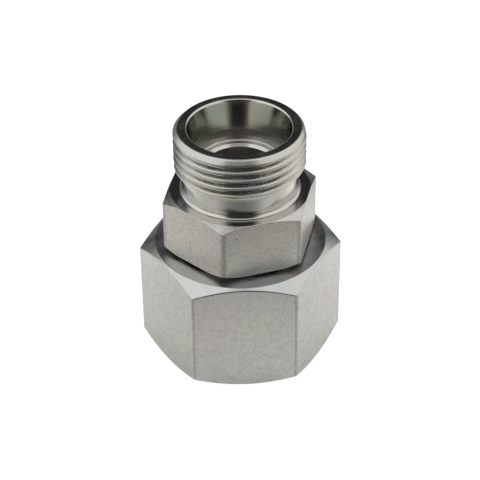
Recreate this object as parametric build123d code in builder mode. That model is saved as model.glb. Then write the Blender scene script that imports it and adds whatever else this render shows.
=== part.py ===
from build123d import *

import os
from math import radians, sqrt, tan

# Straight swivel adapter for hydraulic lines, in zinc-plated steel. The top end is a male
# 24 degree cone end for a 20 mm tube. The bottom end is a flat seal face for an O-ring, at
# the end of a shank inside a free-turning hexagon nut. A split snap ring, half in the shank
# and half in the nut, holds the nut on. Millimetres, +Z up the bore, origin at the centre of
# the nut's open end, on which the fitting stands. The tube end's thread is a row of ring
# grooves at its pitch and depth, and the nut's thread is left plain at its crests.

# Male tube end
tube_dia = 20.0
tube_slip = 0.1  # radial play of the tube in its socket
cone_angle = 24.0  # included angle of the sealing cone
cone_mouth_dia = 23.1
mouth_edge = 0.8
socket_depth = 9.8  # end face to the tube stop
tube_end_length = 16.0  # hexagon to end face
thread_dia = 30.0
thread_pitch = 2.0
thread_groove_count = 4
thread_start = 2.05  # end face to the first groove's middle
lead_in_width = 1.35
lead_in_angle = 35.0  # from the end face
neck_dia = 26.6
neck_edge = 1.05

# Hexagon of the body
body_flats = 32.0
body_hexagon_height = 13.6
body_corner_round = 0.4
body_top_chamfer = 2.375  # width at the corners
body_bottom_chamfer = 1.775
body_chamfer_angle = 25.0  # from the faces
body_turn = 15.0  # from the nut's hexagon, which has flats facing +Y and -Y

# Shank, seal face and flow bore
shank_dia = 31.0
seal_face_depth = 15.0  # nut's open end to the seal face
shank_edge = 0.5
flow_bore_dia = 16.0
bore_edge = 0.6

# Swivel nut
nut_flats = 41.0
nut_height = 27.7
nut_corner_round = 0.8
nut_top_chamfer = 3.82  # width at the corners
nut_bottom_chamfer = 3.47
nut_chamfer_angle = 30.0  # from the faces
nut_thread_dia = 34.2  # at the thread's crests
nut_thread_top = 14.0  # nut's open end to the end of the thread
nut_mouth_edge = 1.3
nut_relief_depth = 1.3  # behind the thread's crests
nut_relief_length = 3.0
nut_hole_edge = 0.5
nut_to_hexagon_gap = 0.7
swivel_slip = 0.08  # radial play between shank and nut

# Snap ring that holds the nut
ring_height = 2.0
ring_width = 2.2
ring_bite = 1.1  # how far the ring stands out of the shank
ring_slip = 0.08  # play of the ring in its grooves
ring_level = 21.5  # nut's open end to the ring's lower face
ring_opening = 32.0  # degrees left open, so that the ring closes up into the shank

# Thread form: 60 degree flanks, with an eighth of the pitch left flat at each crest
flank_slope = tan(radians(30))
thread_depth = 5 / 16 * sqrt(3) * thread_pitch
crest_flat = thread_pitch / 8

# Heights
hexagon_bottom = nut_height + nut_to_hexagon_gap
hexagon_top = hexagon_bottom + body_hexagon_height
end_face = hexagon_top + tube_end_length
tube_stop = end_face - socket_depth
first_groove = end_face - thread_start
thread_bottom = first_groove - (thread_groove_count - 0.5) * thread_pitch - crest_flat / 2
relief_top = nut_thread_top + nut_relief_length
neck_top = thread_bottom - (thread_dia - neck_dia) / 2 * flank_slope
lead_in_bottom = end_face - lead_in_width * tan(radians(lead_in_angle))
cone_bottom = end_face - (cone_mouth_dia - tube_dia - 2 * tube_slip) / 2 / tan(radians(cone_angle / 2))

# Radii
thread_radius = thread_dia / 2
neck_radius = neck_dia / 2
bore_radius = flow_bore_dia / 2
shank_radius = shank_dia / 2
nut_hole_radius = shank_radius + swivel_slip
nut_thread_radius = nut_thread_dia / 2
relief_radius = nut_thread_radius + nut_relief_depth
socket_radius = tube_dia / 2 + tube_slip
mouth_radius = cone_mouth_dia / 2
rim_radius = thread_radius - lead_in_width
ring_outer_radius = shank_radius + ring_bite
ring_inner_radius = ring_outer_radius - ring_width
closed_ring_radius = shank_radius - ring_width - ring_slip


def hexagon_bar(flats, corner_round, bottom, top, bottom_chamfer, top_chamfer, angle, turn):
    """A hexagon bar with rounded corners, turned to a shallow cone at both ends."""
    corner = flats / sqrt(3)
    slope = tan(radians(angle))
    with BuildPart() as bar:
        with BuildSketch(Plane.XY.offset(bottom)):
            RegularPolygon(flats / 2, 6, major_radius=False, rotation=turn)
        extrude(amount=top - bottom)
        fillet(bar.edges().filter_by(Axis.Z), corner_round)
        with BuildSketch(Plane.XZ):
            with BuildLine():
                Polyline(
                    (0, bottom),
                    (corner - bottom_chamfer, bottom),
                    (corner, bottom + bottom_chamfer * slope),
                    (corner, top - top_chamfer * slope),
                    (corner - top_chamfer, top),
                    (0, top),
                    close=True,
                )
            make_face()
        revolve(axis=Axis.Z, mode=Mode.INTERSECT)
    return bar.part


def ring_channel(inner_radius, outer_radius):
    """The square-cornered channel that the snap ring lies in, between two radii."""
    with BuildPart() as channel:
        with BuildSketch(Plane.XZ):
            with Locations((inner_radius, ring_level - ring_slip)):
                Rectangle(
                    outer_radius - inner_radius,
                    ring_height + 2 * ring_slip,
                    align=(Align.MIN, Align.MIN),
                )
        revolve(axis=Axis.Z)
    return channel.part


# Ring grooves of the tube end's thread, cut a little deeper than the crests on the outside
with BuildPart() as thread_grooves:
    groove_overshoot = thread_depth / 2
    floor_half = (thread_pitch - crest_flat) / 2 - thread_depth * flank_slope
    mouth_half = floor_half + (thread_depth + groove_overshoot) * flank_slope
    with BuildSketch(Plane.XZ):
        for turn in range(thread_groove_count):
            middle = first_groove - turn * thread_pitch
            with BuildLine():
                Polyline(
                    (thread_radius + groove_overshoot, middle - mouth_half),
                    (thread_radius - thread_depth, middle - floor_half),
                    (thread_radius - thread_depth, middle + floor_half),
                    (thread_radius + groove_overshoot, middle + mouth_half),
                    close=True,
                )
            make_face()
    revolve(axis=Axis.Z)

# Body: one turned piece with a hexagon, bored right through
with BuildPart() as adapter_body:
    add(
        hexagon_bar(
            body_flats,
            body_corner_round,
            hexagon_bottom,
            hexagon_top,
            body_bottom_chamfer,
            body_top_chamfer,
            body_chamfer_angle,
            body_turn,
        )
    )
    with BuildSketch(Plane.XZ) as outside:
        with BuildLine():
            Polyline(
                (0, seal_face_depth),
                (shank_radius - shank_edge, seal_face_depth),
                (shank_radius, seal_face_depth + shank_edge),
                (shank_radius, hexagon_top),
                (neck_radius, hexagon_top),
                (neck_radius, neck_top),
                (thread_radius, thread_bottom),
                (thread_radius, lead_in_bottom),
                (rim_radius, end_face),
                (0, end_face),
                close=True,
            )
        make_face()
        neck_foot = outside.vertices().sort_by_distance((neck_radius, hexagon_top))[0]
        chamfer(neck_foot, neck_edge)
    revolve(axis=Axis.Z)
    with BuildSketch(Plane.XZ):
        with BuildLine():
            Polyline(
                (0, seal_face_depth),
                (bore_radius, seal_face_depth),
                (bore_radius, tube_stop - bore_edge),
                (bore_radius + bore_edge, tube_stop),
                (socket_radius, tube_stop),
                (socket_radius, cone_bottom),
                (mouth_radius, end_face),
                (0, end_face),
                close=True,
            )
        make_face()
    revolve(axis=Axis.Z, mode=Mode.SUBTRACT)
    mouth = adapter_body.faces().sort_by(Axis.Z)[-1].edges().sort_by(SortBy.RADIUS)[0]
    chamfer(mouth, min(mouth_edge, (rim_radius - mouth_radius) * 0.45))
    add(thread_grooves.part, mode=Mode.SUBTRACT)
    add(ring_channel(closed_ring_radius, shank_radius), mode=Mode.SUBTRACT)

# Swivel nut: hexagon outside, threaded up to a relief, then a plain hole round the shank
with BuildPart() as swivel_nut:
    add(
        hexagon_bar(
            nut_flats,
            nut_corner_round,
            0,
            nut_height,
            nut_bottom_chamfer,
            nut_top_chamfer,
            nut_chamfer_angle,
            turn=0,
        )
    )
    with BuildSketch(Plane.XZ):
        with BuildLine():
            Polyline(
                (0, 0),
                (nut_thread_radius + nut_mouth_edge, 0),
                (nut_thread_radius, nut_mouth_edge),
                (nut_thread_radius, nut_thread_top),
                (relief_radius, nut_thread_top),
                (relief_radius, relief_top),
                (nut_hole_radius, relief_top),
                (nut_hole_radius, nut_height - nut_hole_edge),
                (nut_hole_radius + nut_hole_edge, nut_height),
                (0, nut_height),
                close=True,
            )
        make_face()
    revolve(axis=Axis.Z, mode=Mode.SUBTRACT)
    add(ring_channel(nut_hole_radius, ring_outer_radius + ring_slip), mode=Mode.SUBTRACT)

# Snap ring: square section, open at one side
with BuildPart() as retaining_ring:
    with BuildSketch(Plane.XZ):
        with Locations((ring_inner_radius, ring_level)):
            Rectangle(ring_width, ring_height, align=(Align.MIN, Align.MIN))
    revolve(axis=Axis.Z, revolution_arc=360 - ring_opening)

adapter_body.part.label = "adapter_body"
swivel_nut.part.label = "swivel_nut"
retaining_ring.part.label = "retaining_ring"

os.makedirs("parts", exist_ok=True)
export_step(adapter_body.part, "parts/adapter_body.step")
export_step(swivel_nut.part, "parts/swivel_nut.step")
export_step(retaining_ring.part, "parts/retaining_ring.step")
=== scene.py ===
"""Looks of a zinc-plated swivel adapter: fine threads, softened edges, finishes and studio.

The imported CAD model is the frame. The body and the nut are rebuilt on it with helical threads
and broken edges, at the same sizes, and the snap ring keeps its CAD shape. Lengths in the
classes are millimetres, which MM turns into metres.
"""

import logging
import math
from collections.abc import Sequence
from dataclasses import dataclass, replace
from enum import Enum

import bpy
import numpy as np
from mathutils import Matrix, Vector

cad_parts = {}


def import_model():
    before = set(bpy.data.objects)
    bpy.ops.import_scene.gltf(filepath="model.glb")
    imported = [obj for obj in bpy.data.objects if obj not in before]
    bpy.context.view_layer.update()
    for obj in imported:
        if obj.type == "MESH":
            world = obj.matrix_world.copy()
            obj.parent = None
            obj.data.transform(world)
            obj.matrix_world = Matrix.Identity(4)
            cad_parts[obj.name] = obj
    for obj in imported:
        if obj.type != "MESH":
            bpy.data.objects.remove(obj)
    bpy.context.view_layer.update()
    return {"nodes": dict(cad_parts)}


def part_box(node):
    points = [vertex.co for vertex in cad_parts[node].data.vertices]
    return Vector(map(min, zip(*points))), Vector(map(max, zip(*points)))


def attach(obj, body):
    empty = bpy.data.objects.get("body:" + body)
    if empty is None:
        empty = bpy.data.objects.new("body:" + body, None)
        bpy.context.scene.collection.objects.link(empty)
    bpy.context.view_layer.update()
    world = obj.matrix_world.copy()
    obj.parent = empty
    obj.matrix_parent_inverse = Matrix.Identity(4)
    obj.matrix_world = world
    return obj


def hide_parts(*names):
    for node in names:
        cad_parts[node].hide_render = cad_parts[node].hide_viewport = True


LOG = logging.getLogger("adapter")
MM = 0.001
SIXTH = math.radians(60)
VIEW_AZIMUTH = -2.31  # degrees from the -Y side, where the camera stands
FRONT = math.radians(VIEW_AZIMUTH - 90)  # the same direction as an angle from +X
THREAD_DEPTH = 5 / 16 * math.sqrt(3)  # of a 60 degree thread, for each unit of pitch

Socket = bpy.types.NodeSocket
Colour = tuple[float, float, float]


class Finish(Enum):
    """The finishes of the fitting, by their materials' names."""

    TURNED = "turned_zinc"
    THREAD = "thread_zinc"
    BORED = "bored_zinc"
    CHAMFER = "chamfer_zinc"
    DRILLED = "drilled_zinc"
    FACED = "faced_zinc"
    FLAT = "flat_zinc"
    WARM_FLAT = "warm_flat_zinc"
    CORNER = "corner_zinc"
    # painted shade: a near-black zinc for the body's underside and the shank inside the nut, so the
    # gap under the hexagon reads dark
    PAINTED_SHADE = "painted_shade_zinc"
    SPRING = "spring_steel"


Materials = dict[Finish, bpy.types.Material]


# --------------------------------------------------------------------------- node helpers


class NodeBook:
    """Adds nodes to one tree and links them."""

    def __init__(self, tree: bpy.types.NodeTree) -> None:
        """Keeps the tree that the nodes go into."""
        self.tree = tree

    def add(self, kind: str, **settings: object) -> bpy.types.Node:
        """Adds a node.

        Args:
            kind: the node's type name.
            settings: attributes set on the node.

        Returns:
            The new node.
        """
        node = self.tree.nodes.new(kind)
        for key, value in settings.items():
            setattr(node, key, value)
        return node

    def join(self, value: object, socket: Socket) -> None:
        """Feeds a socket from another socket, or sets it to a plain value.

        Args:
            value: socket, number, colour or vector.
            socket: the input that gets it.
        """
        if isinstance(value, Socket):
            self.tree.links.new(value, socket)
        else:
            socket.default_value = value

    def math(self, operation: str, a: object, b: object = 0.0) -> Socket:
        """Adds a Math node.

        Args:
            operation: its operation.
            a: first socket or number.
            b: second socket or number.

        Returns:
            The result's socket.
        """
        node = self.add("ShaderNodeMath", operation=operation)
        self.join(a, node.inputs[0])
        self.join(b, node.inputs[1])
        return node.outputs[0]

    def ramp(
        self, value: object, low: float, high: float, to_low: float = 0.0, to_high: float = 1.0
    ) -> Socket:
        """Adds a smooth step of a value from one range to another.

        Args:
            value: socket or number that is mapped.
            low: input where the step starts.
            high: input where the step ends.
            to_low: output at the start.
            to_high: output at the end.

        Returns:
            The result's socket.
        """
        node = self.add("ShaderNodeMapRange", interpolation_type="SMOOTHSTEP")
        for value_in, socket in zip((value, low, high, to_low, to_high), node.inputs):
            self.join(value_in, socket)
        return node.outputs[0]

    def split(self, vector: Socket) -> tuple[Socket, Socket, Socket]:
        """Adds a Separate XYZ node and gives its three outputs."""
        node = self.add("ShaderNodeSeparateXYZ")
        self.join(vector, node.inputs[0])
        return tuple(node.outputs)

    def reach(self, x: Socket, y: Socket) -> Socket:
        """Adds the distance from the axis of a point at X and Y."""
        squares = self.math("ADD", self.math("MULTIPLY", x, x), self.math("MULTIPLY", y, y))
        return self.math("SQRT", squares)

    def show(self, share: object, a: bpy.types.Node, b: bpy.types.Node, kind: str) -> None:
        """Mixes two shaders and feeds them to the tree's output.

        Args:
            share: share of the second shader.
            a: first shader's node.
            b: second shader's node.
            kind: type name of the output node.
        """
        blend, out = self.add("ShaderNodeMixShader"), self.add(kind)
        for value, socket in zip((share, a.outputs[0], b.outputs[0]), blend.inputs):
            self.join(value, socket)
        self.join(blend.outputs[0], out.inputs["Surface"])

    def mix(self, factor: object, a: object, b: object) -> Socket:
        """Adds a colour mix.

        Args:
            factor: share of the second colour.
            a: first colour.
            b: second colour.

        Returns:
            The mixed colour's socket.
        """
        node = self.add("ShaderNodeMix", data_type="RGBA")
        self.join(factor, node.inputs[0])
        self.join(a, node.inputs[6])
        self.join(b, node.inputs[7])
        return node.outputs[2]

    def noise(
        self, vector: Socket, scale: object, detail: float = 2.0, rough: float = 0.5
    ) -> Socket:
        """Adds a noise texture.

        Args:
            vector: the point that it is read at.
            scale: features per metre.
            detail: octaves.
            rough: share of each further octave.

        Returns:
            The noise value's socket.
        """
        node = self.add("ShaderNodeTexNoise")
        self.join(vector, node.inputs["Vector"])
        self.join(scale, node.inputs["Scale"])
        node.inputs["Detail"].default_value = detail
        node.inputs["Roughness"].default_value = rough
        return node.outputs[0]


def fresh_book(owner: bpy.types.Material | bpy.types.World) -> NodeBook:
    """Empties the node tree of a material or a world and gives a book for its nodes."""
    owner.use_nodes = True
    owner.node_tree.nodes.clear()
    return NodeBook(owner.node_tree)


def placed(name: str, data: bpy.types.ID) -> bpy.types.Object:
    """Makes an object of a mesh, camera or light and links it to the scene."""
    made = bpy.data.objects.new(name, data)
    bpy.context.scene.collection.objects.link(made)
    return made


def node_group(
    name: str, inputs: dict[str, object], outputs: dict[str, str]
) -> tuple[bpy.types.NodeTree, NodeBook, bpy.types.Node, bpy.types.Node]:
    """Makes an empty shader group with named sockets.

    Args:
        name: the group's name.
        inputs: socket name to default number, colour or None for a vector.
        outputs: socket name to socket type.

    Returns:
        The group, a book for its nodes, and its input and output nodes.
    """
    tree = bpy.data.node_groups.new(name, "ShaderNodeTree")
    for key, default in inputs.items():
        kind = "NodeSocketColor" if isinstance(default, tuple) else "NodeSocketFloat"
        if default is None:
            kind = "NodeSocketVector"
        socket = tree.interface.new_socket(key, in_out="INPUT", socket_type=kind)
        if default is not None:
            socket.default_value = default
    for key, kind in outputs.items():
        tree.interface.new_socket(key, in_out="OUTPUT", socket_type=kind)
    book = NodeBook(tree)
    return tree, book, book.add("NodeGroupInput"), book.add("NodeGroupOutput")


class ZincEffects:
    """The shader groups that the zinc finishes share."""

    STRAW = (0.70, 0.66, 0.55, 1.0)
    ROSE = (0.70, 0.58, 0.56, 1.0)
    BLUE = (0.52, 0.58, 0.63, 1.0)
    SPECK = (0.20, 0.20, 0.19, 1.0)
    SPECK_SIZE = 0.38  # millimetres, as is the next one
    SPECK_PATCH_SIZE = 1.6
    MARK_SLANT = 0.7  # tilts the rings so that they also show on flat faces
    MARK_DRIFT = 60.0  # how fast the rings' depth changes round the bore, per metre

    def __init__(self) -> None:
        """Builds each group once."""
        self.grain = self._grain()
        self.marks = self._marks()
        self.tint = self._tint()
        self.pits = self._pits()

    @staticmethod
    def _grain() -> bpy.types.NodeTree:
        """Orange peel of plated bar: soft bumps with a finer grain on top.

        Returns:
            The group, which puts out a height.
        """
        inputs = {"Vector": None, "Size": 0.0004}
        tree, book, given, out = node_group("OrangePeel", inputs, {"Height": "NodeSocketFloat"})
        scale = book.math("DIVIDE", 1.0, given.outputs["Size"])
        soft = book.noise(given.outputs["Vector"], scale, 1.5, 0.5)
        finer = book.math("MULTIPLY", scale, 2.7)
        fine = book.noise(given.outputs["Vector"], finer, 1.0, 0.5)
        soft, fine = book.math("MULTIPLY", soft, 0.65), book.math("MULTIPLY", fine, 0.35)
        book.join(book.math("ADD", soft, fine), out.inputs["Height"])
        return tree

    def _marks(self) -> bpy.types.NodeTree:
        """Turning marks: fine rings round the bore, of uneven depth.

        Returns:
            The group, which puts out a height.
        """
        inputs = {"Vector": None, "Pitch": 0.00012}
        tree, book, given, out = node_group("TurningMarks", inputs, {"Height": "NodeSocketFloat"})
        x, y, z = book.split(given.outputs["Vector"])
        tilted = book.math("MULTIPLY", book.reach(x, y), self.MARK_SLANT)
        slant = book.math("SUBTRACT", z, tilted)
        point = book.add("ShaderNodeCombineXYZ")
        book.join(book.math("MULTIPLY", x, self.MARK_DRIFT), point.inputs[0])
        book.join(book.math("MULTIPLY", y, self.MARK_DRIFT), point.inputs[1])
        book.join(book.math("DIVIDE", slant, given.outputs["Pitch"]), point.inputs[2])
        book.join(book.noise(point.outputs[0], 1.0, 2.0, 0.6), out.inputs["Height"])
        return tree

    def _tint(self) -> bpy.types.NodeTree:
        """Passivation colours: a metal colour that drifts to straw, rose and blue, with specks.

        Returns:
            The group, which puts out a colour.
        """
        inputs = {
            "Vector": None, "Metal": (0.62, 0.61, 0.58, 1.0), "Amount": 0.5, "Size": 0.012,
            "Speckle": 0.1,
        }
        tree, book, given, out = node_group("PassivationTint", inputs, {"Color": "NodeSocketColor"})
        scale = book.math("DIVIDE", 1.0, given.outputs["Size"])
        colour = given.outputs["Metal"]
        for shift, hue in ((0.0, self.STRAW), (7.0, self.ROSE), (13.0, self.BLUE)):
            moved = book.add("ShaderNodeVectorMath", operation="ADD")
            book.join(given.outputs["Vector"], moved.inputs[0])
            moved.inputs[1].default_value = (shift, shift * 0.3, -shift)
            patch = book.ramp(book.noise(moved.outputs[0], scale, 2.0, 0.55), 0.48, 0.72)
            colour = book.mix(book.math("MULTIPLY", patch, given.outputs["Amount"]), colour, hue)
        where = given.outputs["Vector"]
        worms = book.noise(where, 1.0 / (self.SPECK_SIZE * MM), 2.0, 0.6)
        patches = book.noise(where, 1.0 / (self.SPECK_PATCH_SIZE * MM), 2.0, 0.5)
        patches = book.ramp(patches, 0.35, 0.65, 0.5, 1.15)
        specks = book.math("MULTIPLY", book.ramp(worms, 0.62, 0.38), given.outputs["Speckle"])
        specks = book.math("MULTIPLY", specks, patches)
        book.join(book.mix(specks, colour, self.SPECK), out.inputs["Color"])
        return tree

    @staticmethod
    def _pits() -> bpy.types.NodeTree:
        """Small dark pits, scattered where the plating is thin.

        Returns:
            The group, which puts out a mask.
        """
        inputs = {"Vector": None, "Spacing": 0.0016, "Share": 0.3}
        tree, book, given, out = node_group("PlatingPits", inputs, {"Mask": "NodeSocketFloat"})
        cells = book.add("ShaderNodeTexVoronoi", feature="F1")
        book.join(given.outputs["Vector"], cells.inputs["Vector"])
        book.join(book.math("DIVIDE", 1.0, given.outputs["Spacing"]), cells.inputs["Scale"])
        dot = book.ramp(cells.outputs["Distance"], 0.05, 0.11, 1.0, 0.0)
        pick = book.add("ShaderNodeSeparateColor")
        book.join(cells.outputs["Color"], pick.inputs[0])
        chosen = book.math("LESS_THAN", pick.outputs[0], given.outputs["Share"])
        book.join(book.math("MULTIPLY", dot, chosen), out.inputs["Mask"])
        return tree


@dataclass(frozen=True)
class ZincFinish:
    """One finish of the plated metal, as its material is built. Sizes are millimetres."""

    finish: Finish
    colour: Colour = (0.62, 0.61, 0.58)
    roughness: float = 0.28
    roughness_spread: float = 0.08
    grain_size: float = 0.40
    grain_depth: float = 0.004
    marks_pitch: float = 0.12
    marks_depth: float = 0.0
    tint: float = 0.5
    speckle: float = 0.05
    pit_share: float = 0.0
    pit_colour: Colour = (0.16, 0.15, 0.13)
    cloud_size: float = 3.0  # of the patches whose roughness differs

    def material(self, effects: ZincEffects) -> bpy.types.Material:
        """Builds the finish's material.

        Args:
            effects: the shared shader groups.

        Returns:
            The material.
        """
        made = bpy.data.materials.new(self.finish.value)
        book = fresh_book(made)
        where = book.add("ShaderNodeTexCoord").outputs["Object"]
        shader = book.add("ShaderNodeBsdfPrincipled")
        shader.inputs["Metallic"].default_value = 1.0

        metal = (*self.colour, 1.0)
        tint = self._effect(
            book, effects.tint, where, Amount=self.tint, Speckle=self.speckle, Metal=metal
        )
        pits = self._effect(book, effects.pits, where, Share=self.pit_share)
        colour = book.mix(pits.outputs["Mask"], tint.outputs["Color"], (*self.pit_colour, 1.0))
        book.join(colour, shader.inputs["Base Color"])

        cloud = book.noise(where, 1.0 / (self.cloud_size * MM), 3.0, 0.6)
        low, high = self.roughness - self.roughness_spread, self.roughness + self.roughness_spread
        book.join(book.ramp(cloud, 0.3, 0.7, low, high), shader.inputs["Roughness"])

        grain = self._effect(book, effects.grain, where, Size=self.grain_size * MM)
        bumps = self._bumps(book, grain, self.grain_depth)
        if self.marks_depth:
            marks = self._effect(book, effects.marks, where, Pitch=self.marks_pitch * MM)
            rings = self._bumps(book, marks, self.marks_depth)
            book.join(bumps.outputs["Normal"], rings.inputs["Normal"])
            bumps = rings
        book.join(bumps.outputs["Normal"], shader.inputs["Normal"])

        out = book.add("ShaderNodeOutputMaterial")
        book.join(shader.outputs[0], out.inputs["Surface"])
        return made

    @staticmethod
    def _bumps(book: NodeBook, effect: bpy.types.Node, depth: float) -> bpy.types.Node:
        """Adds a Bump node on the height that an effect puts out.

        Args:
            book: the material's nodes.
            effect: the effect's group node.
            depth: depth of the bumps, in millimetres.

        Returns:
            The Bump node.
        """
        bump = book.add("ShaderNodeBump")
        bump.inputs["Distance"].default_value = depth * MM
        book.join(effect.outputs["Height"], bump.inputs["Height"])
        return bump

    @staticmethod
    def _effect(
        book: NodeBook, group: bpy.types.NodeTree, where: Socket, **values: object
    ) -> bpy.types.Node:
        """Places a shared group with its own values.

        Args:
            book: the material's nodes.
            group: the shared group.
            where: the point socket.
            values: input name to value.

        Returns:
            The group node.
        """
        node = book.add("ShaderNodeGroup", node_tree=group)
        book.join(where, node.inputs["Vector"])
        for key, value in values.items():
            node.inputs[key].default_value = value
        return node


FLAT_ZINC = ZincFinish(
    Finish.FLAT, colour=(0.65, 0.645, 0.62), roughness=0.34, roughness_spread=0.015,
    grain_size=0.42, grain_depth=0.008, tint=0.25, speckle=0.33, pit_share=0.2,
)
FINISHES = (
    ZincFinish(
        Finish.TURNED, roughness=0.16, roughness_spread=0.04, grain_depth=0.0015,
        marks_depth=0.001, tint=0.3,
    ),
    ZincFinish(
        Finish.THREAD, colour=(0.61, 0.60, 0.53), roughness=0.25, grain_size=0.32,
        grain_depth=0.0015, pit_share=0.1,
    ),
    ZincFinish(
        Finish.BORED, colour=(0.47, 0.49, 0.44), roughness=0.13, roughness_spread=0.03,
        grain_depth=0.002, marks_depth=0.004,
    ),
    ZincFinish(
        Finish.DRILLED, colour=(0.62, 0.63, 0.60), roughness=0.42, grain_depth=0.003,
        marks_depth=0.004,
    ),
    ZincFinish(
        Finish.FACED, colour=(0.58, 0.62, 0.62), roughness=0.37, grain_depth=0.0005,
        marks_depth=0.0008,
    ),
    ZincFinish(
        Finish.CHAMFER, colour=(0.60, 0.62, 0.61), roughness=0.22, grain_depth=0.002,
        marks_depth=0.001,
    ),
    FLAT_ZINC,
    replace(
        FLAT_ZINC, finish=Finish.WARM_FLAT, colour=(0.64, 0.62, 0.575), tint=0.3, pit_share=0.35
    ),
    # painted shade: near-black zinc for faces hidden in the gap under the body's hexagon
    ZincFinish(Finish.PAINTED_SHADE, colour=(0.05, 0.05, 0.045), roughness=0.5, grain_depth=0.003),
    ZincFinish(
        Finish.CORNER, colour=(0.54, 0.53, 0.50), roughness=0.45, grain_size=0.45,
        grain_depth=0.03, speckle=0.45, pit_share=0.5,
    ),
)


# --------------------------------------------------------------------------- turned shapes


@dataclass(frozen=True)
class Hexagon:
    """The section of a hexagon bar with rounded corners."""

    flats: float
    corner_round: float
    turn: float = 0.0  # degrees
    band: float = 0.0  # width of the rough strip on each side of a corner
    flat_steps: int = 26
    corner_steps: int = 8
    band_steps: int = 3

    @property
    def tangent(self) -> float:
        """Angle from a flat's middle to the start of a corner's rounding."""
        straight = (self.flats / 2 - self.corner_round) * math.tan(SIXTH / 2)
        return math.atan(straight / (self.flats / 2))

    @property
    def reach(self) -> float:
        """Distance from the axis to the centre of a corner's rounding."""
        return (self.flats / 2 - self.corner_round) / math.cos(SIXTH / 2)

    def azimuths(self) -> tuple[np.ndarray, np.ndarray]:
        """Angles round the bore, closer together at the corners.

        Returns:
            The angles, and for each whether the strip after it lies on a corner's rough strip.
        """
        swing = np.linspace(-SIXTH / 2, SIXTH / 2, self.corner_steps + 1)[:-1]
        across, out = self.corner_round * np.sin(swing), self.corner_round * np.cos(swing)
        corner = np.arctan2(across, self.reach + out)
        whole = self.tangent
        clean = math.atan(math.tan(SIXTH / 2) - 2 * self.band / self.flats) if self.band else whole
        parts = [(corner, True)]
        strips = (
            (-whole, -clean, self.band_steps, True),
            (-clean, clean, self.flat_steps, False),
            (clean, whole, self.band_steps, True),
        )
        for start, end, steps, is_rough in strips:
            if end > start:
                parts.append((SIXTH / 2 + np.linspace(start, end, steps + 1)[:-1], is_rough))
        turn = math.radians(self.turn)
        angles = [turn + side * SIXTH + part for side in range(6) for part, _ in parts]
        rough = [np.full(len(part), is_rough) for _ in range(6) for part, is_rough in parts]
        return np.concatenate(angles), np.concatenate(rough)

    def radius(self, azimuths: np.ndarray) -> np.ndarray:
        """Distance from the axis to the bar's side.

        Args:
            azimuths: angles round the bore.

        Returns:
            The distance at each angle.
        """
        from_corner = (azimuths - math.radians(self.turn) + SIXTH / 2) % SIXTH - SIXTH / 2
        from_flat = SIXTH / 2 - np.abs(from_corner)
        side = self.flats / 2 / np.cos(from_flat)
        inside = np.maximum(self.corner_round**2 - (self.reach * np.sin(from_corner)) ** 2, 0)
        rounded = self.reach * np.cos(from_corner) + np.sqrt(inside)
        return np.where(from_flat > self.tangent, rounded, side)


@dataclass(frozen=True)
class Thread:
    """A helical 60 degree thread, as the drop from its crest."""

    crest_radius: float
    pitch: float
    groove_height: float  # a groove's middle, on the side that faces the camera
    soften: float = 0.07
    inside: bool = False
    run_out: tuple[float, float] | None = None  # heights between which a groove fades away

    def radius(self, azimuths: np.ndarray, height: float) -> np.ndarray:
        """Distance from the axis to the thread's surface.

        Args:
            azimuths: angles round the bore.
            height: height of the ring of points.

        Returns:
            The radius at each angle.
        """
        turns = (height - self.groove_height) / self.pitch - (azimuths - FRONT) / (2 * math.pi)
        away = np.abs(turns - np.round(turns)) * self.pitch
        floor_width = self.pitch / 8 if self.inside else self.pitch / 4
        depth = THREAD_DEPTH * self.pitch
        drop = soft_most(depth - (away - floor_width / 2) * math.tan(SIXTH), 0.0, self.soften)
        drop = soft_least(drop, depth, self.soften)
        if self.run_out:
            middle = height - (turns - np.round(turns)) * self.pitch
            full, none = self.run_out
            drop = drop * np.clip((none - middle) / (none - full), 0.0, 1.0)
        return self.crest_radius + (drop if self.inside else -drop)


def soft_most(a: np.ndarray | float, b: np.ndarray | float, soften: float) -> np.ndarray:
    """The larger of two values, with a rounded change from one to the other."""
    return (a + b + np.sqrt((a - b) ** 2 + soften**2)) / 2


def soft_least(a: np.ndarray | float, b: np.ndarray | float, soften: float) -> np.ndarray:
    """The smaller of two values, with a rounded change from one to the other."""
    return (a + b - np.sqrt((a - b) ** 2 + soften**2)) / 2


@dataclass
class Ring:
    """A ring of points round the bore, and the finish of the strip up to the next ring."""

    radius: np.ndarray
    height: np.ndarray
    finish: Finish
    edge: float = 0.0

    @property
    def points(self) -> np.ndarray:
        """Radius and height of each point."""
        return np.stack([self.radius, self.height], axis=-1)


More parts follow.
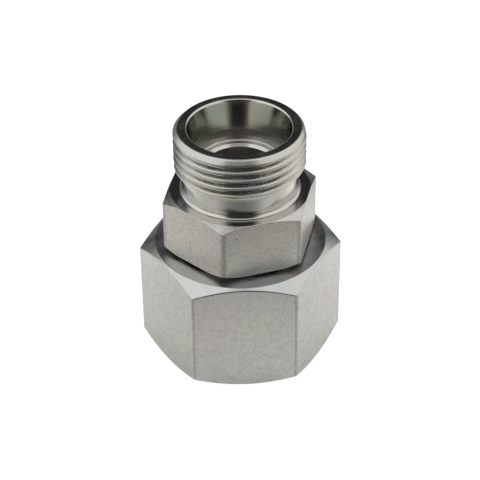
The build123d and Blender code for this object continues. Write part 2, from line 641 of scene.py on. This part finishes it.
class TurnedShape:
    """A closed surface swept round the bore, whose section may change with the angle."""

    EDGE_STEPS = 5
    EDGE_SHARE = 0.45  # the most that a rounding takes of the strips next to it
    TINY = 1e-9

    def __init__(self, azimuths: np.ndarray, on_corner: np.ndarray) -> None:
        """Starts with no rings.

        Args:
            azimuths: angles round the bore.
            on_corner: for each angle, whether the strip after it lies on a hexagon's corner.
        """
        self.azimuths = azimuths
        self.on_corner = on_corner
        self.rings: list[Ring] = []

    def ring(
        self,
        radius: np.ndarray | float,
        height: np.ndarray | float,
        finish: Finish,
        edge: float = 0.0,
    ) -> None:
        """Adds a ring.

        Args:
            radius: distance from the axis, in millimetres.
            height: height, in millimetres.
            finish: finish of the strip that follows.
            edge: radius of the rounding at this ring.
        """
        blank = np.zeros(len(self.azimuths))
        self.rings.append(Ring(blank + radius, blank + height, finish, edge))

    def rounded(self) -> list[Ring]:
        """Rounds the edges.

        Returns:
            The rings, with each edge replaced by the rings of its rounding.
        """
        made = []
        for index, here in enumerate(self.rings):
            if here.edge <= 0:
                made.append(here)
                continue
            before, after = self.rings[index - 1], self.rings[(index + 1) % len(self.rings)]
            for share, points in self._arc(before.points, here.points, after.points, here.edge):
                finish = before.finish if share < 0.5 else here.finish
                made.append(Ring(points[:, 0], points[:, 1], finish))
        return made

    def _arc(
        self, before: np.ndarray, here: np.ndarray, after: np.ndarray, edge: float
    ) -> list[tuple[float, np.ndarray]]:
        """Points of a rounding between two straight strips.

        Args:
            before: points of the ring before the edge.
            here: points of the edge.
            after: points of the ring after the edge.
            edge: radius of the rounding.

        Returns:
            For each step, its share of the way round and its points.
        """
        back, ahead = before - here, after - here
        back_length = np.maximum(np.linalg.norm(back, axis=1), self.TINY)[:, None]
        ahead_length = np.maximum(np.linalg.norm(ahead, axis=1), self.TINY)[:, None]
        back, ahead = back / back_length, ahead / ahead_length
        half = np.arccos(np.clip(np.sum(back * ahead, axis=1), -1, 1))[:, None] / 2
        cut = edge / np.tan(np.maximum(half, 1e-6))
        cut = np.minimum(cut, self.EDGE_SHARE * np.minimum(back_length, ahead_length))
        middle = back + ahead
        middle = middle / np.maximum(np.linalg.norm(middle, axis=1), self.TINY)[:, None]
        centre = here + middle * cut / np.maximum(np.cos(half), 1e-6)
        start, end = here + back * cut - centre, here + ahead * cut - centre
        swing = np.maximum(math.pi - 2 * half, 1e-6)
        made = []
        for share in np.linspace(0, 1, self.EDGE_STEPS + 1):
            turned = start * np.sin((1 - share) * swing) + end * np.sin(share * swing)
            made.append((float(share), centre + turned / np.sin(swing)))
        return made

    def build(self, name: str, materials: Materials) -> bpy.types.Object:
        """Makes the mesh object.

        Args:
            name: the object's name.
            materials: material of each finish.

        Returns:
            The object, at the frame's origin.
        """
        rings = self.rounded()
        points, quads = self._grid(rings)
        used, slot_of_quad = self._slots(rings)
        faces, slots = [], []
        for quad, slot in zip(quads.tolist(), slot_of_quad.tolist()):
            face = [v for k, v in enumerate(quad) if v != quad[k - 1]]
            if len(set(face)) == len(face) >= 3:
                faces.append(face)
                slots.append(slot)
        mesh = bpy.data.meshes.new(name)
        mesh.from_pydata(points.tolist(), [], faces)
        for member in used:
            mesh.materials.append(materials[member])
        mesh.polygons.foreach_set("material_index", slots)
        mesh.polygons.foreach_set("use_smooth", [True] * len(faces))
        mesh.update()
        mesh.normals_split_custom_set_from_vertices(area_normals(points, faces))
        return placed(name, mesh)

    def _grid(self, rings: list[Ring]) -> tuple[np.ndarray, np.ndarray]:
        """Points of all rings, and the quads between them.

        Args:
            rings: the shape's rings, in order.

        Returns:
            The points in metres, each kept once, and four point numbers for each quad.
        """
        radius = np.array([ring.radius for ring in rings])
        height = np.array([ring.height for ring in rings])
        x, y = radius * np.cos(self.azimuths), radius * np.sin(self.azimuths)
        points = np.stack([x, y, height], axis=-1) * MM
        count, around = radius.shape
        j, i = np.meshgrid(np.arange(count), np.arange(around), indexing="ij")
        j_next, i_next = (j + 1) % count, (i + 1) % around
        corners = ((j, i), (j, i_next), (j_next, i_next), (j_next, i))
        quads = np.stack([row * around + column for row, column in corners], axis=-1)
        rounded = np.round(points.reshape(-1, 3), 9)
        unique, inverse = np.unique(rounded, axis=0, return_inverse=True)
        return unique, inverse.reshape(-1)[quads.reshape(-1, 4)]

    def _slots(self, rings: list[Ring]) -> tuple[list[Finish], np.ndarray]:
        """Finishes that the shape uses, and the number of each quad's finish.

        Args:
            rings: the shape's rings, in order.

        Returns:
            The finishes, and for each quad its finish's place among them.
        """
        used = list(dict.fromkeys(ring.finish for ring in rings))
        slots = np.array([used.index(ring.finish) for ring in rings])
        slots = np.repeat(slots[:, None], len(self.azimuths), axis=1)
        if Finish.FLAT in used:
            used.append(Finish.CORNER)
            flat = slots == used.index(Finish.FLAT)
            slots = np.where(flat & self.on_corner[None, :], used.index(Finish.CORNER), slots)
        return used, slots.reshape(-1)


def area_normals(points: np.ndarray, faces: list[list[int]]) -> list[tuple[float, float, float]]:
    """Vertex normals weighted by the area of the faces, so that broad flats stay flat.

    Args:
        points: the mesh's points.
        faces: its faces, of three or four points.

    Returns:
        A normal for each point.
    """
    index = np.array([face if len(face) == 4 else [*face, face[0]] for face in faces])
    corners = points[index]
    normals = np.cross(corners[:, 2] - corners[:, 0], corners[:, 3] - corners[:, 1])
    total = np.zeros_like(points)
    for corner in range(4):
        np.add.at(total, index[:, corner], normals)
    total /= np.maximum(np.linalg.norm(total, axis=1), 1e-20)[:, None]
    return [tuple(row) for row in total.tolist()]


def hexagon_rings(
    shape: TurnedShape,
    side: np.ndarray,
    bottom: float,
    top: float,
    bottom_face: float,
    top_face: float,
    angle: float,
    edge: float,
    face: Finish,
    under: Finish = Finish.CHAMFER,
) -> None:
    """Adds the rings of a hexagon turned to a cone at both ends, from the bottom up.

    Args:
        shape: the shape that gets the rings.
        side: distance from the axis to the bar's side, for each angle.
        bottom: height of its lower face.
        top: height of its upper face.
        bottom_face: radius where the lower cone starts.
        top_face: radius where the upper cone starts.
        angle: angle of the cones from the faces, in degrees.
        edge: radius of the softened edges.
        face: finish of the upper face.
        under: finish of the lower cone.
    """
    slope = math.tan(math.radians(angle))
    narrowest = 0.12  # width of a cone where it only breaks a flat's edge
    lower = np.minimum(bottom_face, side - narrowest)
    upper = np.minimum(top_face, side - narrowest)
    shape.ring(lower, bottom, under, edge)
    shape.ring(side, bottom + np.maximum(side - lower, narrowest) * slope, Finish.FLAT, edge)
    shape.ring(side, top - np.maximum(side - upper, narrowest) * slope, Finish.CHAMFER, edge)
    shape.ring(upper, top, face, edge)


@dataclass
class AdapterBody:
    """The turned body: shank with seal face, hexagon, neck, threaded tube end and bore."""

    hexagon: Hexagon = Hexagon(flats=32.0, corner_round=0.4, turn=15.0, band=0.85)
    hexagon_bottom: float = 28.4
    hexagon_top: float = 42.0
    hexagon_edge: float = 0.15
    top_face: float = 16.1
    bottom_face: float = 16.7
    chamfer_angle: float = 25.0
    shank: float = 15.5
    shank_edge: float = 0.5
    neck: float = 13.3
    neck_round: float = 1.05
    neck_overlap: float = 1.2  # length of plain neck that is made with the thread
    neck_soften: float = 0.35
    thread_bottom: float = 48.6
    thread_soften: float = 0.08
    cut_soften: float = 0.1  # where the neck and the lead-in cut the thread
    crest: float = 15.0
    pitch: float = 2.0
    first_groove: float = 2.05  # below the end face
    run_out: tuple[float, float] = (1.5, 0.9)  # below the end face
    thread_finish_end: float = 0.3  # below the end face
    lead_in: float = 1.48  # width, from the end face's rim to the thread's crest
    lead_in_angle: float = 46.0  # from the end face
    lead_in_round: float = 1.0
    lead_in_steps: int = 16
    cone_mouth: float = 11.55  # radius of the sealing cone at the end face, with a sharp mouth
    cone_tilt: float = 12.0  # half the cone's angle
    rim_inside: float = 12.4
    mouth_round: float = 0.6
    mouth_steps: int = 12
    mouth_bend: float = 78.0  # degrees that the mouth's rounding turns through
    mouth_finish_end: float = 1.3  # radians into it at which the bored finish starts
    socket: float = 10.1
    socket_depth: float = 9.8
    bore: float = 8.0
    bore_edge: float = 0.6
    channel: tuple[float, float, float] = (13.22, 21.42, 23.58)  # floor radius, bottom, top
    rows_in_pitch: int = 32

    def build(self, materials: Materials) -> bpy.types.Object:
        """Builds the body over its CAD node.

        Args:
            materials: material of each finish.

        Returns:
            The finished piece.
        """
        low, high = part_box("adapter_body")
        seal_face, end_face = low.z / MM, high.z / MM
        shape = TurnedShape(*self.hexagon.azimuths())
        self._shank(shape, seal_face)
        side = self.hexagon.radius(shape.azimuths)
        # the lower cone gets the painted shade finish
        hexagon_rings(
            shape, side, self.hexagon_bottom, self.hexagon_top, self.bottom_face, self.top_face,
            self.chamfer_angle, self.hexagon_edge, face=Finish.TURNED, under=Finish.PAINTED_SHADE,
        )
        shape.ring(self.neck, self.hexagon_top, Finish.TURNED, edge=self.neck_round)
        self._thread(shape, end_face)
        self._inside(shape, end_face)
        materials = {**materials, Finish.FLAT: materials[Finish.WARM_FLAT]}
        piece = shape.build("body_dressed", materials)
        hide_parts("adapter_body")
        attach(piece, "adapter")
        return piece

    def _shank(self, shape: TurnedShape, seal_face: float) -> None:
        """Adds the seal face, the shank and the snap ring's channel in it.

        Args:
            shape: the shape that gets the rings.
            seal_face: height of the seal face.
        """
        floor, bottom, top = self.channel
        shape.ring(self.bore, seal_face, Finish.TURNED, edge=0.2)
        shape.ring(self.shank - self.shank_edge, seal_face, Finish.TURNED, edge=0.1)
        shape.ring(self.shank, seal_face + self.shank_edge, Finish.TURNED, edge=0.1)
        shape.ring(self.shank, bottom, Finish.TURNED, edge=0.08)
        shape.ring(floor, bottom, Finish.TURNED)
        shape.ring(floor, top, Finish.TURNED)
        # painted shade on the shank from the channel up to the hexagon's underside
        shape.ring(self.shank, top, Finish.PAINTED_SHADE, edge=0.08)
        shape.ring(self.shank, self.hexagon_bottom, Finish.PAINTED_SHADE)

    def _thread(self, shape: TurnedShape, end_face: float) -> None:
        """Adds the neck's top, the helical thread and its rounded lead-in.

        Args:
            shape: the shape that gets the rings.
            end_face: height of the tube end's face.
        """
        steep = math.tan(SIXTH)
        neck_top = self.thread_bottom - (self.crest - self.neck) / steep
        thread = Thread(
            self.crest,
            self.pitch,
            groove_height=end_face - self.first_groove,
            soften=self.thread_soften,
            run_out=(end_face - self.run_out[0], end_face - self.run_out[1]),
        )
        slant, bend = math.radians(self.lead_in_angle), self.lead_in_round
        rim = self.crest - self.lead_in
        turned = end_face - bend * (1 - np.cos(np.linspace(slant, 0.0, self.lead_in_steps)))
        start = neck_top - self.neck_overlap
        rows = round((turned[0] - neck_top + self.neck_overlap) / self.pitch * self.rows_in_pitch)
        for height in [*np.linspace(start, turned[0], rows), *turned[1:]]:
            radius = thread.radius(shape.azimuths, height)
            cut = self.neck + (height - neck_top) * steep
            radius = soft_least(radius, cut, self.cut_soften)
            radius = soft_most(radius, self.neck, self.neck_soften)
            tilt = math.acos(min(max(1 - (end_face - height) / bend, math.cos(slant)), 1.0))
            limit = rim + bend * math.sin(tilt) + max(turned[0] - height, 0.0) / math.tan(slant)
            if height < turned[0]:
                radius = soft_least(radius, limit, self.cut_soften)
            else:
                radius = np.minimum(radius, limit)
            below = end_face - height
            if below > self.thread_finish_end:
                finish = Finish.THREAD
            else:
                finish = Finish.TURNED if below > 0.001 else Finish.CHAMFER
            shape.ring(radius, height, finish)

    def _inside(self, shape: TurnedShape, end_face: float) -> None:
        """Adds the rim's inner edge, the cone, the tube socket, the tube stop and the bore.

        Args:
            shape: the shape that gets the rings.
            end_face: height of the tube end's face.
        """
        stop = end_face - self.socket_depth
        cone_depth = (self.cone_mouth - self.socket) / math.tan(math.radians(self.cone_tilt))
        cone_bottom = end_face - cone_depth
        for tilt in np.radians(np.linspace(0.0, self.mouth_bend, self.mouth_steps + 1)):
            drop = self.mouth_round * (1 - math.cos(tilt))
            width = self.mouth_round * math.sin(tilt)
            finish = Finish.TURNED if tilt < self.mouth_finish_end else Finish.BORED
            shape.ring(self.rim_inside - width, end_face - drop, finish)
        shape.ring(self.socket, cone_bottom, Finish.DRILLED, edge=0.6)
        shape.ring(self.socket, stop, Finish.TURNED, edge=0.45)
        shape.ring(self.bore + self.bore_edge, stop, Finish.TURNED, edge=0.1)
        shape.ring(self.bore, stop - self.bore_edge, Finish.DRILLED, edge=0.1)


@dataclass
class SwivelNut:
    """The nut: a hexagon outside, and inside a thread, a relief and a hole round the shank."""

    hexagon: Hexagon = Hexagon(flats=41.0, corner_round=0.8)
    hexagon_edge: float = 0.38
    top_face: float = 19.85
    bottom_face: float = 20.2
    chamfer_angle: float = 30.0
    crest: float = 17.1
    pitch: float = 25.4 / 12  # 12 turns to the inch
    mouth_edge: float = 1.3
    thread_top: float = 14.0
    relief: float = 18.4
    relief_top: float = 17.0
    hole: float = 15.58
    hole_edge: float = 0.5
    channel: tuple[float, float, float] = (16.68, 21.42, 23.58)  # floor radius, bottom, top
    mouth_start: float = 0.12  # height of the thread's lowest ring
    rows_in_pitch: int = 26

    def build(self, materials: Materials) -> bpy.types.Object:
        """Builds the nut over its CAD node.

        Args:
            materials: material of each finish.

        Returns:
            The finished piece.
        """
        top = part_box("swivel_nut")[1].z / MM
        shape = TurnedShape(*self.hexagon.azimuths())
        side = self.hexagon.radius(shape.azimuths)
        hexagon_rings(
            shape, side, 0.0, top, self.bottom_face, self.top_face,
            self.chamfer_angle, self.hexagon_edge, face=Finish.FACED,
        )
        floor, channel_bottom, channel_top = self.channel
        shape.ring(self.hole + self.hole_edge, top, Finish.TURNED, edge=0.08)
        shape.ring(self.hole, top - self.hole_edge, Finish.TURNED, edge=0.08)
        shape.ring(self.hole, channel_top, Finish.TURNED)
        shape.ring(floor, channel_top, Finish.TURNED)
        shape.ring(floor, channel_bottom, Finish.TURNED)
        shape.ring(self.hole, channel_bottom, Finish.TURNED)
        shape.ring(self.hole, self.relief_top, Finish.TURNED, edge=0.15)
        shape.ring(self.relief, self.relief_top, Finish.TURNED, edge=0.4)
        shape.ring(self.relief, self.thread_top, Finish.TURNED, edge=0.2)
        self._thread(shape)
        shape.ring(self.crest + self.mouth_edge, 0.0, Finish.TURNED, edge=0.1)
        piece = shape.build("nut_dressed", materials)
        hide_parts("swivel_nut")
        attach(piece, "nut")
        return piece

    def _thread(self, shape: TurnedShape) -> None:
        """Adds the helical thread, from its top down to the mouth.

        Args:
            shape: the shape that gets the rings.
        """
        thread = Thread(self.crest, self.pitch, self.mouth_edge + self.pitch, inside=True)
        rows = round(self.thread_top / self.pitch * self.rows_in_pitch)
        for height in np.linspace(self.thread_top, self.mouth_start, rows):
            radius = thread.radius(shape.azimuths, height)
            radius = soft_most(radius, self.crest + self.mouth_edge - height, 0.08)
            radius = soft_least(radius, self.relief, 0.02)
            shape.ring(radius, height, Finish.THREAD)


@dataclass
class SnapRing:
    """The split ring that holds the nut. It keeps its CAD shape and gets its own finish."""

    steel: ZincFinish = ZincFinish(
        Finish.SPRING, colour=(0.40, 0.40, 0.41), roughness=0.3, grain_depth=0.002,
        marks_depth=0.001, tint=0.1,
    )

    def dress(self, node: bpy.types.Object, effects: ZincEffects) -> bpy.types.Object:
        """Gives the CAD node its material.

        Args:
            node: the ring's CAD object.
            effects: the shared shader groups.

        Returns:
            The same object.
        """
        node.data.materials.clear()
        node.data.materials.append(self.steel.material(effects))
        return node


# --------------------------------------------------------------------------- studio


@dataclass
class Studio:
    """The camera, the pale floor, the light tent and the lamp.

    A screen or a change along the floor is given as the start and the end of a smooth step.
    Where two more numbers follow, they are its values there.
    """

    elevation: float = 35.554
    distance: float = 383.5
    lens: float = 122.67
    sensor: float = 36.0
    roll: float = -0.548
    aim_height: float = 25.46
    centre_x: float = 240.569  # pixel that the aim point falls on, in a 480 pixel square
    centre_y: float = 244.942
    frame_size: float = 480.0
    floor_size: float = 6.0  # metres
    floor_drop: float = 0.02  # keeps the floor clear of the nut's lower face
    # painted shade: the paper is darker towards -X, where less light falls on the floor in the
    # metal's reflections
    painted_shade_by_x: tuple[float, ...] = (-0.07, 0.05, 0.84, 0.92)  # by X, in metres
    # painted light: the paper is brighter round the part, which offsets the part's own shadow where
    # the metal reflects the floor
    painted_light_near_part: tuple[float, ...] = (0.020, 0.042, 1.24, 1.0)  # by distance from the axis
    floor_seen: tuple[float, ...] = (0.90, 0.90, 0.90, 1.0)
    floor_glow: float = 1.12
    floor_glow_share: float = 0.84  # of what the camera sees of the floor
    screen_left: tuple[float, ...] = (0.45, 1.75)  # by X over Y, behind the part
    screen_right: tuple[float, ...] = (0.45, 1.22)
    screen_front: tuple[float, ...] = (0.36, 0.95)  # by X over Y, on the camera's side
    horizon_height: tuple[float, ...] = (0.05, 0.30, 0.25, 0.0)
    horizon_width: tuple[float, ...] = (0.1, 0.35)
    top_height: tuple[float, ...] = (0.74, 0.92)
    top_depth: tuple[float, ...] = (-0.3, 0.1, 0.74, 0.32)
    tent_level: tuple[float, float] = (0.03, 0.97)  # in the gaps, and added on the screens
    tent_slope: tuple[float, ...] = (-0.3, 0.3, 1.03, 0.95)
    lamp_power: float = 4.15
    lamp_size: float = 0.8  # metres, as are the next two
    lamp_place: tuple[float, float, float] = (0.03, 0.06, 0.7)
    lamp_aim: tuple[float, float, float] = (0.0, 0.0, 0.03)
    # painted light and shade: the paper's brightness along Y copies how lit the floor looked in the
    # metal's reflections, dark in front and brightest just behind the part
    painted_floor_light: tuple[tuple[float, float], ...] = (  # place along Y, brightness of the paper
        (-120, 0.05), (-95, 0.05), (-85, 0.11), (-75, 0.25), (-66, 0.42),
        (-57, 0.62), (-45, 0.62), (-26, 0.60), (-12, 0.72), (2, 0.80),
        (18, 0.92), (36, 0.98), (55, 0.66), (72, 0.33), (95, 0.20),
    )

    def build(self) -> None:
        """Sets up the camera, the floor, the world, the lamp and the view transform."""
        self._camera()
        self._floor()
        self._world()
        self._lamp()
        bpy.context.scene.view_settings.view_transform = "Standard"

    def _camera(self) -> None:
        """Places the camera by its angles, its distance and its aim point."""
        angles = (VIEW_AZIMUTH, self.elevation, self.roll)
        azimuth, elevation, roll = (math.radians(angle) for angle in angles)
        level = math.cos(elevation)
        back = Vector((math.sin(azimuth) * level, -math.cos(azimuth) * level, math.sin(elevation)))
        right = Vector((math.cos(azimuth), math.sin(azimuth), 0.0))
        up = back.cross(right)
        across = right * math.cos(roll) + up * math.sin(roll)
        over = up * math.cos(roll) - right * math.sin(roll)
        data = bpy.data.cameras.new("camera")
        data.lens = self.lens
        data.sensor_width = self.sensor
        data.shift_x = (self.frame_size / 2 - self.centre_x) / self.frame_size
        data.shift_y = (self.centre_y - self.frame_size / 2) / self.frame_size
        data.clip_start, data.clip_end = 0.01, 20.0
        camera = placed("camera", data)
        place = Vector((0.0, 0.0, self.aim_height * MM)) + back * self.distance * MM
        turned = Matrix((across, over, back)).transposed().to_4x4()
        camera.matrix_world = Matrix.Translation(place) @ turned
        bpy.context.scene.camera = camera

    def _floor(self) -> None:
        """Lays the pale floor."""
        half = self.floor_size / 2
        mesh = bpy.data.meshes.new("floor")
        corners = [(-half, -half, 0), (half, -half, 0), (half, half, 0), (-half, half, 0)]
        mesh.from_pydata(corners, [], [(0, 1, 2, 3)])
        floor = placed("floor", mesh)
        floor.location.z = -self.floor_drop * MM
        mesh.materials.append(self._paper())

    def _paper(self) -> bpy.types.Material:
        """Makes the floor's paper: white to the camera, with painted light and shade where metal
        reflects it.

        Returns:
            The material.
        """
        material = bpy.data.materials.new("pale_floor")
        book = fresh_book(material)
        x, y, _ = book.split(book.add("ShaderNodeTexCoord").outputs["Object"])
        low, high = self.painted_floor_light[0][0], self.painted_floor_light[-1][0]
        along = book.math("DIVIDE", book.math("SUBTRACT", y, low * MM), (high - low) * MM)
        # painted light and shade of the floor, by place along Y
        painted_light_ramp = book.add("ShaderNodeValToRGB")
        painted_light_ramp.color_ramp.interpolation = "B_SPLINE"
        stops = painted_light_ramp.color_ramp.elements
        for index, (place, tone) in enumerate(self.painted_floor_light):
            spot = (place - low) / (high - low)
            stop = stops[index] if index < 2 else stops.new(spot)
            stop.position = spot
            stop.color = (tone, tone, tone * 0.98, 1.0)
        book.join(along, painted_light_ramp.inputs[0])
        # painted shade, darker towards -X
        side = book.ramp(x, *self.painted_shade_by_x)
        # painted light round the part's foot
        near_part_light = book.ramp(book.reach(x, y), *self.painted_light_near_part)
        painted_light_paper = book.add("ShaderNodeVectorMath", operation="SCALE")
        book.join(painted_light_ramp.outputs[0], painted_light_paper.inputs[0])
        book.join(book.math("MULTIPLY", side, near_part_light), painted_light_paper.inputs["Scale"])
        seen = book.add("ShaderNodeLightPath").outputs["Is Camera Ray"]
        paper = book.add("ShaderNodeBsdfDiffuse")
        book.join(book.mix(seen, painted_light_paper.outputs[0], self.floor_seen), paper.inputs["Color"])
        white = book.add("ShaderNodeEmission")
        white.inputs["Strength"].default_value = self.floor_glow
        share = book.math("MULTIPLY", seen, self.floor_glow_share)
        book.show(share, paper, white, "ShaderNodeOutputMaterial")
        return material

    def _world(self) -> None:
        """Hangs broad white screens left, right and overhead, with dark gaps fore and aft."""
        world = bpy.data.worlds.new("tent")
        bpy.context.scene.world = world
        book = fresh_book(world)
        x, y, z = book.split(book.add("ShaderNodeTexCoord").outputs["Generated"])
        turn = book.math("DIVIDE", x, book.math("MAXIMUM", book.math("ABSOLUTE", y), 0.001))
        spread = book.math("ABSOLUTE", turn)
        left = book.ramp(book.math("MULTIPLY", turn, -1.0), *self.screen_left)
        behind = book.math("MAXIMUM", left, book.ramp(turn, *self.screen_right))
        low = book.ramp(z, *self.horizon_height)
        glow = book.math("MULTIPLY", low, book.ramp(spread, *self.horizon_width))
        behind = book.math("MAXIMUM", behind, glow)
        ahead = book.ramp(spread, *self.screen_front)
        is_behind = book.math("GREATER_THAN", y, 0.0)
        is_ahead = book.math("SUBTRACT", 1.0, is_behind)
        behind = book.math("MULTIPLY", behind, is_behind)
        bright = book.math("ADD", behind, book.math("MULTIPLY", ahead, is_ahead))
        high = book.ramp(z, *self.top_height)
        above = book.math("MULTIPLY", high, book.ramp(y, *self.top_depth))
        bright = book.math("MAXIMUM", bright, above)
        gaps, screens = self.tent_level
        level = book.math("ADD", book.math("MULTIPLY", bright, screens), gaps)
        level = book.math("MULTIPLY", level, book.ramp(x, *self.tent_slope))
        tent = book.add("ShaderNodeBackground")
        book.join(level, tent.inputs["Strength"])
        tent.inputs["Color"].default_value = (1.0, 1.0, 0.99, 1.0)
        white = book.add("ShaderNodeBackground")
        white.inputs["Color"].default_value = (1.0, 1.0, 1.0, 1.0)
        seen = book.add("ShaderNodeLightPath").outputs["Is Camera Ray"]
        book.show(seen, tent, white, "ShaderNodeOutputWorld")

    def _lamp(self) -> None:
        """Hangs one broad lamp overhead, which isn't seen in the metal's reflections."""
        data = bpy.data.lights.new("overhead", "AREA")
        data.shape = "DISK"
        data.size = self.lamp_size
        data.energy = self.lamp_power
        lamp = placed("overhead", data)
        lamp.location = self.lamp_place
        aim = Vector(self.lamp_aim) - lamp.location
        lamp.rotation_euler = aim.to_track_quat("-Z", "Y").to_euler()
        lamp.visible_glossy = False


def report(pieces: Sequence[bpy.types.Object]) -> None:
    """Logs each piece's name and face count."""
    for piece in pieces:
        LOG.info("%s: %d faces", piece.name, len(piece.data.polygons))


def main() -> None:
    """Builds the finishes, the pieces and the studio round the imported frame."""
    logging.basicConfig(level=logging.INFO, format="%(name)s %(message)s")
    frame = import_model()
    effects = ZincEffects()
    materials = {finish.finish: finish.material(effects) for finish in FINISHES}
    body = AdapterBody().build(materials)
    nut = SwivelNut().build(materials)
    ring = SnapRing().dress(frame["nodes"]["retaining_ring"], effects)
    report([body, nut, ring])
    Studio().build()


if __name__ == "__main__":
    main()
